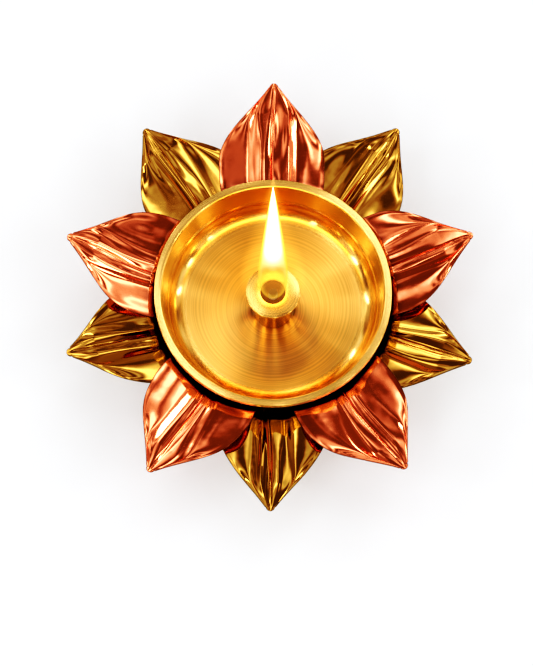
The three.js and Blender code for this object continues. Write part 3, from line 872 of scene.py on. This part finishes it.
class LAMP_OT_petals(bpy.types.Operator):
    """Form the ten sheet petals, five of copper above five of brass"""
    bl_idname = "lamp.petals"
    bl_label = "Petals"

    def execute(self, context):
        first_seeds = {"brass": 8, "copper": 3}
        for metal, places in PETAL_PLACES.items():
            for number, place in enumerate(places):
                petal_piece(metal, place, first_seeds[metal] + 17 * number)
        return {"FINISHED"}


class LAMP_OT_rivets(bpy.types.Operator):
    """Set a domed rivet through each petal's tab and its plate"""
    bl_idname = "lamp.rivets"
    bl_label = "Rivets"

    def execute(self, context):
        head, shank, rise, steps = 2.6 * MM, 1.4 * MM, 0.8 * MM, 6
        for metal, places in PETAL_PLACES.items():
            for place in places:
                node = f"{metal}_rivet_{place}"
                low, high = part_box(node)
                middle = (low + high) / 2
                under, over = low.z + rise, high.z - rise
                profile = [*dome(head, under, -rise, steps)[::-1], (shank, under), (shank, over),
                           *dome(head, over, rise, steps)]
                bm = turned(profile, 28)
                bmesh.ops.translate(bm, verts=bm.verts[:], vec=(middle.x, middle.y, 0))
                add_piece(bm, f"domed_rivet_{metal}_{place}", "Plain brass", "lamp", "plain_brass", node)
        return {"FINISHED"}


class LAMP_OT_bowl(bpy.types.Operator):
    """Turn the bowl with its lip, wall, dished floor and spigot"""
    bl_idname = "lamp.bowl"
    bl_label = "Bowl"

    def execute(self, context):
        sizes = context.scene.lamp_bowl
        holder = context.scene.lamp_holder
        rim = BOWL_HIGH.z
        floor = rim - sizes.floor_depth
        floor_edge = floor + sizes.floor_dish
        recess = floor - sizes.recess_depth
        hole_end = recess - sizes.recess_floor
        under = floor - sizes.floor_thickness
        shoulder = under - sizes.shoulder_height
        wall_end_z = rim - sizes.wall_depth
        inner_rim = sizes.rim_radius - sizes.rim_width
        wall_top = inner_rim - sizes.lip_chamfer
        wall_end = wall_top - sizes.wall_taper
        bottom = sizes.floor_radius - sizes.bottom_inset
        corner_steps = 22
        inside = quarter(sizes.floor_radius, floor_edge, wall_end - sizes.step_width - sizes.floor_radius,
                         wall_end_z - sizes.step_width - floor_edge, corner_steps)
        outside = quarter(bottom, under, wall_end + sizes.wall_thickness - bottom, wall_end_z - under,
                          corner_steps)
        recess_radius = holder.stem_radius + sizes.recess_gap
        dish_steps = 12
        dish = []
        for step in range(1, dish_steps):
            radius = sizes.floor_radius + (recess_radius - sizes.floor_radius) * step / dish_steps
            dish.append((radius, floor + sizes.floor_dish * (radius / sizes.floor_radius) ** 2))
        profile = [
            (0.0, hole_end), (sizes.screw_hole_radius, hole_end), (sizes.screw_hole_radius, BOWL_LOW.z),
            (sizes.spigot_radius, BOWL_LOW.z), (sizes.spigot_radius, shoulder),
            (sizes.shoulder_radius, shoulder), (sizes.shoulder_radius, under),
            *outside, (sizes.rim_radius, rim - sizes.wall_thickness), (sizes.rim_radius, rim),
            (inner_rim, rim), (wall_top, rim - sizes.lip_chamfer), (wall_end, wall_end_z),
            *inside[::-1], *dish, (recess_radius, floor), (recess_radius, recess), (0.0, recess),
        ]
        bm = turned(profile, 200, sizes.edge_round)
        add_piece(bm, "turned_bowl", "Turned brass", "lamp", "turned_brass", "bowl")
        return {"FINISHED"}


class LAMP_OT_clamp(bpy.types.Operator):
    """Make the screw and washer that hold the lamp together from below"""
    bl_idname = "lamp.clamp"
    bl_label = "Clamp Screw"

    def execute(self, context):
        washer_hole, washer_round = 2.1 * MM, 0.08 * MM
        washer = turned(ring_profile("clamp_washer", washer_hole), 64, washer_round, closed=True)
        add_piece(washer, "pressed_washer", "Steel", "lamp", "steel", "clamp_washer")
        shank, socket, socket_depth, head = 1.8 * MM, 1.5 * MM, 1.2 * MM, 1.9 * MM
        plain_length, pitch, turns, thread_depth = 1.5 * MM, 0.7 * MM, 9, 0.25 * MM
        point_length, point_inset = 0.2 * MM, 0.3 * MM
        low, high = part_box("clamp_screw")
        profile = [
            (0.0, low.z + socket_depth), (socket, low.z + socket_depth), (socket, low.z),
            (high.x, low.z), (high.x, low.z + head), (shank, low.z + head)]
        for turn in range(turns):
            crest = low.z + head + plain_length + turn * pitch
            profile += [(shank, crest), (shank - thread_depth, crest + pitch / 2)]
        profile += [(shank, high.z - point_length), (shank - point_inset, high.z), (0.0, high.z)]
        add_piece(turned(profile, 48), "socket_screw", "Steel", "lamp", "steel", "clamp_screw")
        return {"FINISHED"}


class LAMP_OT_wick_holder(bpy.types.Operator):
    """Turn the wick holder and cut the oil slot through its foot"""
    bl_idname = "lamp.wick_holder"
    bl_label = "Wick Holder"

    def execute(self, context):
        sizes = context.scene.lamp_holder
        top, base = HOLDER_HIGH.z, HOLDER_LOW.z
        under = top - sizes.disc_thickness
        bore_top = top - sizes.cup_depth
        bore_end = bore_top - sizes.bore_length
        cup = quarter(sizes.bore_radius, bore_top, sizes.cup_radius - sizes.bore_radius, sizes.cup_depth, 10)
        profile = [
            (sizes.chamber_radius, base), (sizes.stem_radius, base), (sizes.stem_radius, under),
            (sizes.disc_radius, under), (sizes.disc_radius, top), *cup[::-1],
            (sizes.bore_radius, bore_end), (sizes.chamber_radius, bore_end - sizes.chamber_taper),
        ]
        bm = turned(profile, 96, sizes.edge_round, closed=True)
        piece = add_piece(bm, "turned_wick_holder", "Holder brass painted lighter", "wick_holder", "turned_brass",
                          "wick_holder")
        self.cut_slot(context, piece, sizes, base)
        return {"FINISHED"}

    def cut_slot(self, context, piece, sizes, base):
        """Cuts the slot right across the stem, with a block that is centred on the stem's foot."""
        cutter_bm = bmesh.new()
        bmesh.ops.create_cube(cutter_bm, size=1.0)
        bmesh.ops.scale(cutter_bm, verts=cutter_bm.verts[:],
                        vec=(4 * sizes.stem_radius, sizes.slot_width, 2 * sizes.slot_height))
        bmesh.ops.translate(cutter_bm, verts=cutter_bm.verts[:], vec=(0, 0, base))
        cutter = add_object(cutter_bm, "slot_cutter")
        cut = piece.modifiers.new("Oil slot", "BOOLEAN")
        cut.operation = "DIFFERENCE"
        cut.solver = "EXACT"
        cut.object = cutter
        context.view_layer.update()
        evaluated = piece.evaluated_get(context.evaluated_depsgraph_get())
        cut_mesh = bpy.data.meshes.new_from_object(evaluated)
        piece.modifiers.clear()
        piece.data = cut_mesh
        bpy.data.objects.remove(cutter)


class LAMP_OT_wick(bpy.types.Operator):
    """Twist the cotton wick from three strands"""
    bl_idname = "lamp.wick"
    bl_label = "Wick"

    def execute(self, context):
        strand, lay_radius, pitch, rings, strands = 0.78 * MM, 0.72 * MM, 7.0 * MM, 64, 3
        burnt_share, strand_loss, lay_loss = 0.9, 0.55, 0.35
        fray_depth, fray_size = 0.12, 0.4 * MM
        wick_length = WICK_HIGH.z - WICK_LOW.z
        bm = bmesh.new()
        for number in range(strands):
            made = bmesh.ops.create_cone(bm, cap_ends=True, segments=12, radius1=strand, radius2=strand,
                                         depth=wick_length)
            walls = {e for v in made["verts"] for e in v.link_edges
                     if abs(e.verts[0].co.z - e.verts[1].co.z) > wick_length / 2}
            bmesh.ops.subdivide_edges(bm, edges=list(walls), cuts=rings, use_grid_fill=True)
            for vert in bm.verts:
                if vert.tag:
                    continue
                vert.tag = True
                along = vert.co.z + wick_length / 2
                burning = smooth(burnt_share, 1.0, along / wick_length)
                fray = 1.0 + fray_depth * noise.noise(vert.co / fray_size)
                thickness = (1.0 - strand_loss * burning) * fray
                lay = lay_radius * (1.0 - lay_loss * burning)
                turn = 2 * math.pi * (along / pitch + number / strands)
                vert.co = Vector((vert.co.x * thickness + lay * math.cos(turn),
                                  vert.co.y * thickness + lay * math.sin(turn), WICK_LOW.z + along))
        limit = context.scene.lamp_holder.wick_radius
        for vert in bm.verts:
            radius = vert.co.xy.length
            if radius > limit:
                vert.co.xy *= limit / radius
        bmesh.ops.recalc_face_normals(bm, faces=bm.faces[:])
        add_piece(bm, "twisted_wick", "Cotton wick", "wick", "cotton", "wick")
        return {"FINISHED"}


# Flame and studio

# Colours of the flame's white core, of the amber heart above the wick, and of the edge
FLAME_CORE, FLAME_HEART, FLAME_EDGE = (1.0, 0.86, 0.62), (1.0, 0.3, 0.06), (1.0, 0.55, 0.08)
HALO_COLOUR, FLAME_LIGHT_COLOUR = (1.0, 0.5, 0.1, 1.0), (1.0, 0.62, 0.22)


def emission_material(name, build):
    """A material that only gives light and lets light through."""
    material = bpy.data.materials.new(name)
    material.use_nodes = True
    tree = material.node_tree
    tree.nodes.clear()
    output = tree.nodes.new("ShaderNodeOutputMaterial")
    clear = tree.nodes.new("ShaderNodeBsdfTransparent")
    glow = tree.nodes.new("ShaderNodeEmission")
    weight = tree.nodes.new("ShaderNodeLayerWeight")
    weight.inputs["Blend"].default_value = 0.5
    place = tree.nodes.new("ShaderNodeTexCoord")
    height = split_vector(tree, place.outputs["Object"])[2]
    surface = build(tree, clear, glow, weight.outputs["Facing"], height)
    tree.links.new(surface, output.inputs["Surface"])


def flame_body(tree, clear, glow, facing, height):
    """White core, yellow edge, and a clear amber heart low down, where the flame is young."""
    base = WICK_HIGH.z
    heart_base, heart_end, foot_end = base + 1.5 * MM, base + 16.0 * MM, base + 3.0 * MM
    rise = map_range(tree, height, 0.0, 1.0, heart_base, heart_end)
    middle = map_range(tree, facing, 1.0, 0.0, 0.1, 0.7)
    heart = math_node(tree, "MULTIPLY", middle, map_range(tree, rise, 1.0, 0.0, 0.3, 1.0))
    inner = mix_colours(tree, map_range(tree, heart, 0.0, 1.0, 0.0, 0.4), FLAME_CORE, FLAME_HEART)
    lit = mix_colours(tree, map_range(tree, facing, 0.0, 1.0, 0.1, 0.55), inner, FLAME_EDGE)
    tree.links.new(lit, glow.inputs["Color"])
    outer = math_node(tree, "MULTIPLY", map_range(tree, rise, 1.4, 4.0),
                      map_range(tree, facing, 1.0, 0.4, 0.1, 0.8))
    strength = math_node(tree, "MULTIPLY", outer, map_range(tree, heart, 1.0, 0.22, 0.0, 0.6))
    seen = map_range(tree, tree.nodes.new("ShaderNodeLightPath").outputs["Is Camera Ray"], 0.3, 1.0)
    tree.links.new(math_node(tree, "MULTIPLY", strength, seen), glow.inputs["Strength"])
    solid = map_range(tree, facing, 1.0, 0.0, 0.35, 0.9)
    thick = math_node(tree, "MULTIPLY", solid, map_range(tree, heart, 1.0, 0.3, 0.0, 0.6))
    burning = map_range(tree, height, 0.1, 1.0, base, foot_end)
    mix = tree.nodes.new("ShaderNodeMixShader")
    tree.links.new(math_node(tree, "MULTIPLY", thick, burning), mix.inputs["Fac"])
    tree.links.new(clear.outputs[0], mix.inputs[1])
    tree.links.new(glow.outputs[0], mix.inputs[2])
    return mix.outputs[0]


def flame_halo(tree, clear, glow, facing, height):
    """A faint orange veil of light round the flame, which fades away below the wick's tip."""
    strongest, fade_length = 0.35, 3.0 * MM
    glow.inputs["Color"].default_value = HALO_COLOUR
    above = map_range(tree, height, 0.0, strongest, WICK_HIGH.z - fade_length, WICK_HIGH.z)
    middle = math_node(tree, "POWER", math_node(tree, "SUBTRACT", 1.0, facing), 3.0)
    tree.links.new(math_node(tree, "MULTIPLY", middle, above), glow.inputs["Strength"])
    both = tree.nodes.new("ShaderNodeAddShader")
    tree.links.new(clear.outputs[0], both.inputs[0])
    tree.links.new(glow.outputs[0], both.inputs[1])
    return both.outputs[0]


def flame_shell(name, reach, widest, drop, lean):
    """A drop of light that leans back and rides with the wick. It starts below the wick's tip."""
    steps, belly, lean_share, taper_start, taper_power = 40, 0.2, 0.35, 1.3, 0.85
    profile = []
    for step in range(steps + 1):
        share = step / steps
        swelling = math.sqrt(1 - (1 - min(1.0, share / belly)) ** 2)
        tapering = min(1.0, taper_start * (1 - share) ** taper_power)
        profile.append((widest * swelling * tapering, share * reach))
    bm = turned(profile, 48)
    for vert in bm.verts:
        x, y, z = vert.co
        angle = lean * smooth(0.0, lean_share, z / reach)
        vert.co = (x, y * math.cos(angle) + z * math.sin(angle), z * math.cos(angle) - y * math.sin(angle))
    bmesh.ops.translate(bm, verts=bm.verts[:], vec=(0, 0, WICK_HIGH.z - drop))
    for face in bm.faces:
        face.smooth = True
    flame = add_object(bm, name, name)
    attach(flame, "wick")
    return flame


class LAMP_OT_flame(bpy.types.Operator):
    """Light the flame on the wick: light and glow only, no part of the lamp"""
    bl_idname = "lamp.flame"
    bl_label = "Flame"

    def execute(self, context):
        sizes = context.scene.lamp_stage
        body_drop, halo_drop, halo_reach, halo_swell = 1.2 * MM, 5.0 * MM, 1.12, 2.3
        light_radius, light_back, light_rise = 4.0 * MM, 9.0 * MM, 14.0 * MM
        emission_material("Flame body", flame_body)
        emission_material("Flame halo", flame_halo)
        flame_shell("Flame body", sizes.flame_length, sizes.flame_radius, body_drop, sizes.flame_lean)
        halo = flame_shell("Flame halo", halo_reach * sizes.flame_length, halo_swell * sizes.flame_radius,
                           halo_drop, sizes.flame_lean)
        halo.visible_glossy = False
        halo.visible_diffuse = False
        halo.visible_shadow = False
        light = bpy.data.lights.new("Flame light", "POINT")
        light.energy = sizes.flame_power
        light.color = FLAME_LIGHT_COLOUR
        light.shadow_soft_size = light_radius
        lamp = bpy.data.objects.new("Flame light", light)
        lamp.location = (0.0, light_back, WICK_HIGH.z + light_rise)
        context.scene.collection.objects.link(lamp)
        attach(lamp, "wick")
        return {"FINISHED"}


# The tones of the studio's walls, each as [azimuth in degrees, tone]: from the back over the left (-90), the
# front (0) and the right to the back again
WALL_TONES = (
    (-180, 0.5), (-168, 0.25), (-152, 0.2), (-146, 0.95), (-130, 1.0), (-125, 0.25), (-116, 0.6),
    (-102, 0.85), (-97, 0.2), (-84, 0.18), (-78, 0.9), (-60, 1.0), (-55, 0.3), (-46, 0.35), (-40, 1.1),
    (-14, 1.0), (-9, 0.2), (-1, 0.2), (4, 1.1), (24, 0.9), (30, 0.2), (40, 0.25), (46, 1.0), (66, 0.9),
    (71, 0.25), (80, 0.35), (86, 1.0), (108, 0.8), (114, 0.25), (128, 0.9), (146, 0.25), (180, 0.5),
)
# How far the draped ceiling takes over from the walls, by the sine of the elevation
CEILING_SHARE = ((0.0, 0.35), (0.1, 0.0), (0.5, 0.0), (0.72, 1.0))
# The drapes' tones, from their dark folds to where light falls through, and how many folds there are
DRAPE_TONES = ((0.0, 0.1), (0.4, 0.22), (0.46, 0.55), (0.52, 0.9), (0.57, 1.2), (0.61, 2.0), (0.67, 4.0))
DRAPE_SCALE = 4.2
# Dark panels and folds are a warm brown, light ones white
SHADE_TINT, LIGHT_TINT = (1.0, 0.62, 0.4), (1.0, 1.0, 1.0)
# Name, azimuth, elevation, width, height, radiance
STRIP_LIGHTS = (
    ("Front strip", 6.0, 58.0, 0.05, 0.4, 5.0),
    ("Left front strip", -35.0, 36.0, 0.06, 0.4, 8.0),
    ("Right front strip", 57.0, 48.0, 0.05, 0.4, 8.0),
    ("Right strip", 102.0, 30.0, 0.05, 0.3, 7.0),
    ("Left strip", -108.0, 34.0, 0.05, 0.3, 7.0),
    ("Back left strip", -140.0, 24.0, 0.06, 0.25, 7.0),
    ("Back right strip", 158.0, 26.0, 0.06, 0.25, 7.0),
    ("Left side", -80.0, 42.0, 0.08, 0.3, 9.0),
    ("Right side", 82.0, 44.0, 0.08, 0.3, 9.0),
)
STRIP_DISTANCE, STRIP_TARGET = 0.9, (0.0, 0.0, 0.02)
# The floor's mottled colours, and the faint glow that stands for light from below the studio's table
FLOOR_COLOURS = (0.63, 0.68, 0.725), (0.66, 0.71, 0.755)
FLOOR_GLOW, FLOOR_GLOW_STRENGTH = (0.98, 1.0, 1.0, 1.0), 0.3
# Tones in the scene's light, and how they are shown
TONE_CURVE = ((0.03, 0.004), (0.1, 0.036), (0.2, 0.14), (0.3, 0.285), (0.5, 0.52), (0.75, 0.8))


def tone_ramp(tree, value, stops):
    """Grey tones along a value from 0 to 1."""
    node = tree.nodes.new("ShaderNodeValToRGB")
    ramp = node.color_ramp
    ramp.interpolation = "EASE"
    ramp.elements.remove(ramp.elements[1])
    for number, (position, tone) in enumerate(stops):
        stop = ramp.elements[0] if number == 0 else ramp.elements.new(position)
        stop.position = position
        stop.color = (tone, tone, tone, 1.0)
    tree.links.new(value, node.inputs[0])
    return node.outputs[0]


def aim(obj, target):
    """Turns a camera or a light towards a point."""
    obj.rotation_mode = "QUATERNION"
    obj.rotation_quaternion = (Vector(target) - obj.location).to_track_quat("-Z", "Y")


def strip_light(name, azimuth, elevation, width, height, radiance):
    """A rectangular light that looks at the lamp. Azimuth 0 stands at the front, on -Y."""
    light = bpy.data.lights.new(name, "AREA")
    light.shape = "RECTANGLE"
    light.size, light.size_y = width, height
    light.energy = radiance * math.pi * width * height
    strip = bpy.data.objects.new(name, light)
    turn, rise = math.radians(azimuth), math.radians(elevation)
    away = Vector((math.sin(turn) * math.cos(rise), -math.cos(turn) * math.cos(rise), math.sin(rise)))
    strip.location = STRIP_DISTANCE * away
    bpy.context.scene.collection.objects.link(strip)
    aim(strip, STRIP_TARGET)


class LAMP_OT_stage(bpy.types.Operator):
    """Set the floor, the soft lights, the studio's surroundings and the camera"""
    bl_idname = "lamp.stage"
    bl_label = "Stage"

    def execute(self, context):
        sizes = context.scene.lamp_stage
        self.lay_floor(sizes.floor_reach)
        self.surround(context.scene)
        for light in STRIP_LIGHTS:
            strip_light(*light)
        self.set_camera(context.scene, sizes)
        self.set_tones(context.scene.view_settings)
        return {"FINISHED"}

    def lay_floor(self, reach):
        """A pale, nearly even floor."""
        tree, shader, place = new_material("Pale floor")
        mottle = noise_node(tree, place, 30.0, 3.0)
        tree.links.new(mix_colours(tree, mottle, *FLOOR_COLOURS), shader.inputs["Base Color"])
        shader.inputs["Emission Color"].default_value = FLOOR_GLOW
        shader.inputs["Emission Strength"].default_value = FLOOR_GLOW_STRENGTH
        shader.inputs["Roughness"].default_value = 0.9
        shader.inputs["Specular IOR Level"].default_value = 0.1
        bm = bmesh.new()
        bmesh.ops.create_grid(bm, x_segments=8, y_segments=8, size=reach)
        floor = add_object(bm, "floor", "Pale floor")

    def surround(self, scene):
        """A round studio tent: pale and dark wall panels below a draped ceiling."""
        scene.world = bpy.data.worlds.new("Studio")
        scene.world.use_nodes = True
        tree = scene.world.node_tree
        direction = tree.nodes.new("ShaderNodeTexCoord").outputs["Generated"]
        x, y, z = split_vector(tree, direction)
        azimuth = math_node(tree, "ARCTAN2", x, math_node(tree, "MULTIPLY", y, -1.0))
        turn = map_range(tree, azimuth, 0.0, 1.0, -math.pi, math.pi)
        walls = tone_ramp(tree, turn, [(0.5 + degrees / 360, tone) for degrees, tone in WALL_TONES])
        drapes = tone_ramp(tree, noise_node(tree, direction, DRAPE_SCALE, 1.0), DRAPE_TONES)
        tones = mix_colours(tree, tone_ramp(tree, z, CEILING_SHARE), walls, drapes)
        whiteness = map_range(tree, tones, 0.0, 1.0, 0.35, 1.0)
        tint = mix_colours(tree, whiteness, SHADE_TINT, LIGHT_TINT)
        background = tree.nodes["Background"]
        tree.links.new(vector_math(tree, "MULTIPLY", tones, tint)[0], background.inputs["Color"])

    def set_camera(self, scene, sizes):
        """The camera of the photograph, from where the bowl's rim lies in it and how wide it is."""
        frame_width, frame_height, sensor = 533, 666, 36.0
        rim_pixels, rim_x, rim_y = 238.0, 273.0, 292.0
        metres_per_pixel = 2 * BOWL_HIGH.x / rim_pixels
        data = bpy.data.cameras.new("Camera")
        data.sensor_width = sensor
        data.lens = sizes.camera_distance / metres_per_pixel * sensor / frame_height
        data.clip_start, data.clip_end = 0.01, 20.0
        rise = sizes.camera_elevation
        back = Vector((0.0, -math.cos(rise), math.sin(rise)))
        up = Vector((0.0, math.sin(rise), math.cos(rise)))
        target = Vector((0.0, 0.0, BOWL_HIGH.z)) - up * (frame_height / 2 - rim_y) * metres_per_pixel
        target.x -= (rim_x - frame_width / 2) * metres_per_pixel
        camera = bpy.data.objects.new("Camera", data)
        camera.location = target + back * sizes.camera_distance
        aim(camera, target)
        scene.collection.objects.link(camera)
        scene.camera = camera

    def set_tones(self, view):
        """A firm tone curve, as product photographs have: deep shades and clear lights."""
        view.view_transform = "Standard"
        view.use_curve_mapping = True
        curve = view.curve_mapping.curves[3]
        for tone, shown in TONE_CURVE:
            curve.points.new(tone, shown)
        view.curve_mapping.update()


OPERATORS = (LAMP_OT_foot, LAMP_OT_plates, LAMP_OT_petals, LAMP_OT_rivets, LAMP_OT_bowl, LAMP_OT_clamp,
             LAMP_OT_wick_holder, LAMP_OT_wick, LAMP_OT_flame, LAMP_OT_stage)
GROUPS = {
    "lamp_foot": LampFootSizes,
    "lamp_bowl": LampBowlSizes,
    "lamp_holder": LampHolderSizes,
    "lamp_petals": LampPetalSizes,
    "lamp_colours": LampColours,
    "lamp_stage": LampStageSizes,
}


class LAMP_PT_sidebar(bpy.types.Panel):
    """Lists the lamp's pieces in the sidebar"""
    bl_label = "Lotus Oil Lamp"
    bl_idname = "LAMP_PT_sidebar"
    bl_space_type = "VIEW_3D"
    bl_region_type = "UI"
    bl_category = "Lamp"

    def draw(self, context):
        for operator in OPERATORS:
            self.layout.operator(operator.bl_idname)


def register():
    """Adds the sizes, colours, operators and the panel to Blender."""
    for group in GROUPS.values():
        bpy.utils.register_class(group)
    for name, group in GROUPS.items():
        setattr(bpy.types.Scene, name, PointerProperty(type=group))
    for operator in OPERATORS:
        bpy.utils.register_class(operator)
    bpy.utils.register_class(LAMP_PT_sidebar)


def unregister():
    """Takes them out again."""
    bpy.utils.unregister_class(LAMP_PT_sidebar)
    for operator in reversed(OPERATORS):
        bpy.utils.unregister_class(operator)
    for name in GROUPS:
        delattr(bpy.types.Scene, name)
    for group in reversed(GROUPS.values()):
        bpy.utils.unregister_class(group)


def main():
    """Makes the lamp and its stage."""
    register()
    make_materials()
    bpy.ops.lamp.foot()
    bpy.ops.lamp.plates()
    bpy.ops.lamp.petals()
    bpy.ops.lamp.rivets()
    bpy.ops.lamp.bowl()
    bpy.ops.lamp.clamp()
    bpy.ops.lamp.wick_holder()
    bpy.ops.lamp.wick()
    bpy.ops.lamp.flame()
    bpy.ops.lamp.stage()


if __name__ == "__main__":
    main()
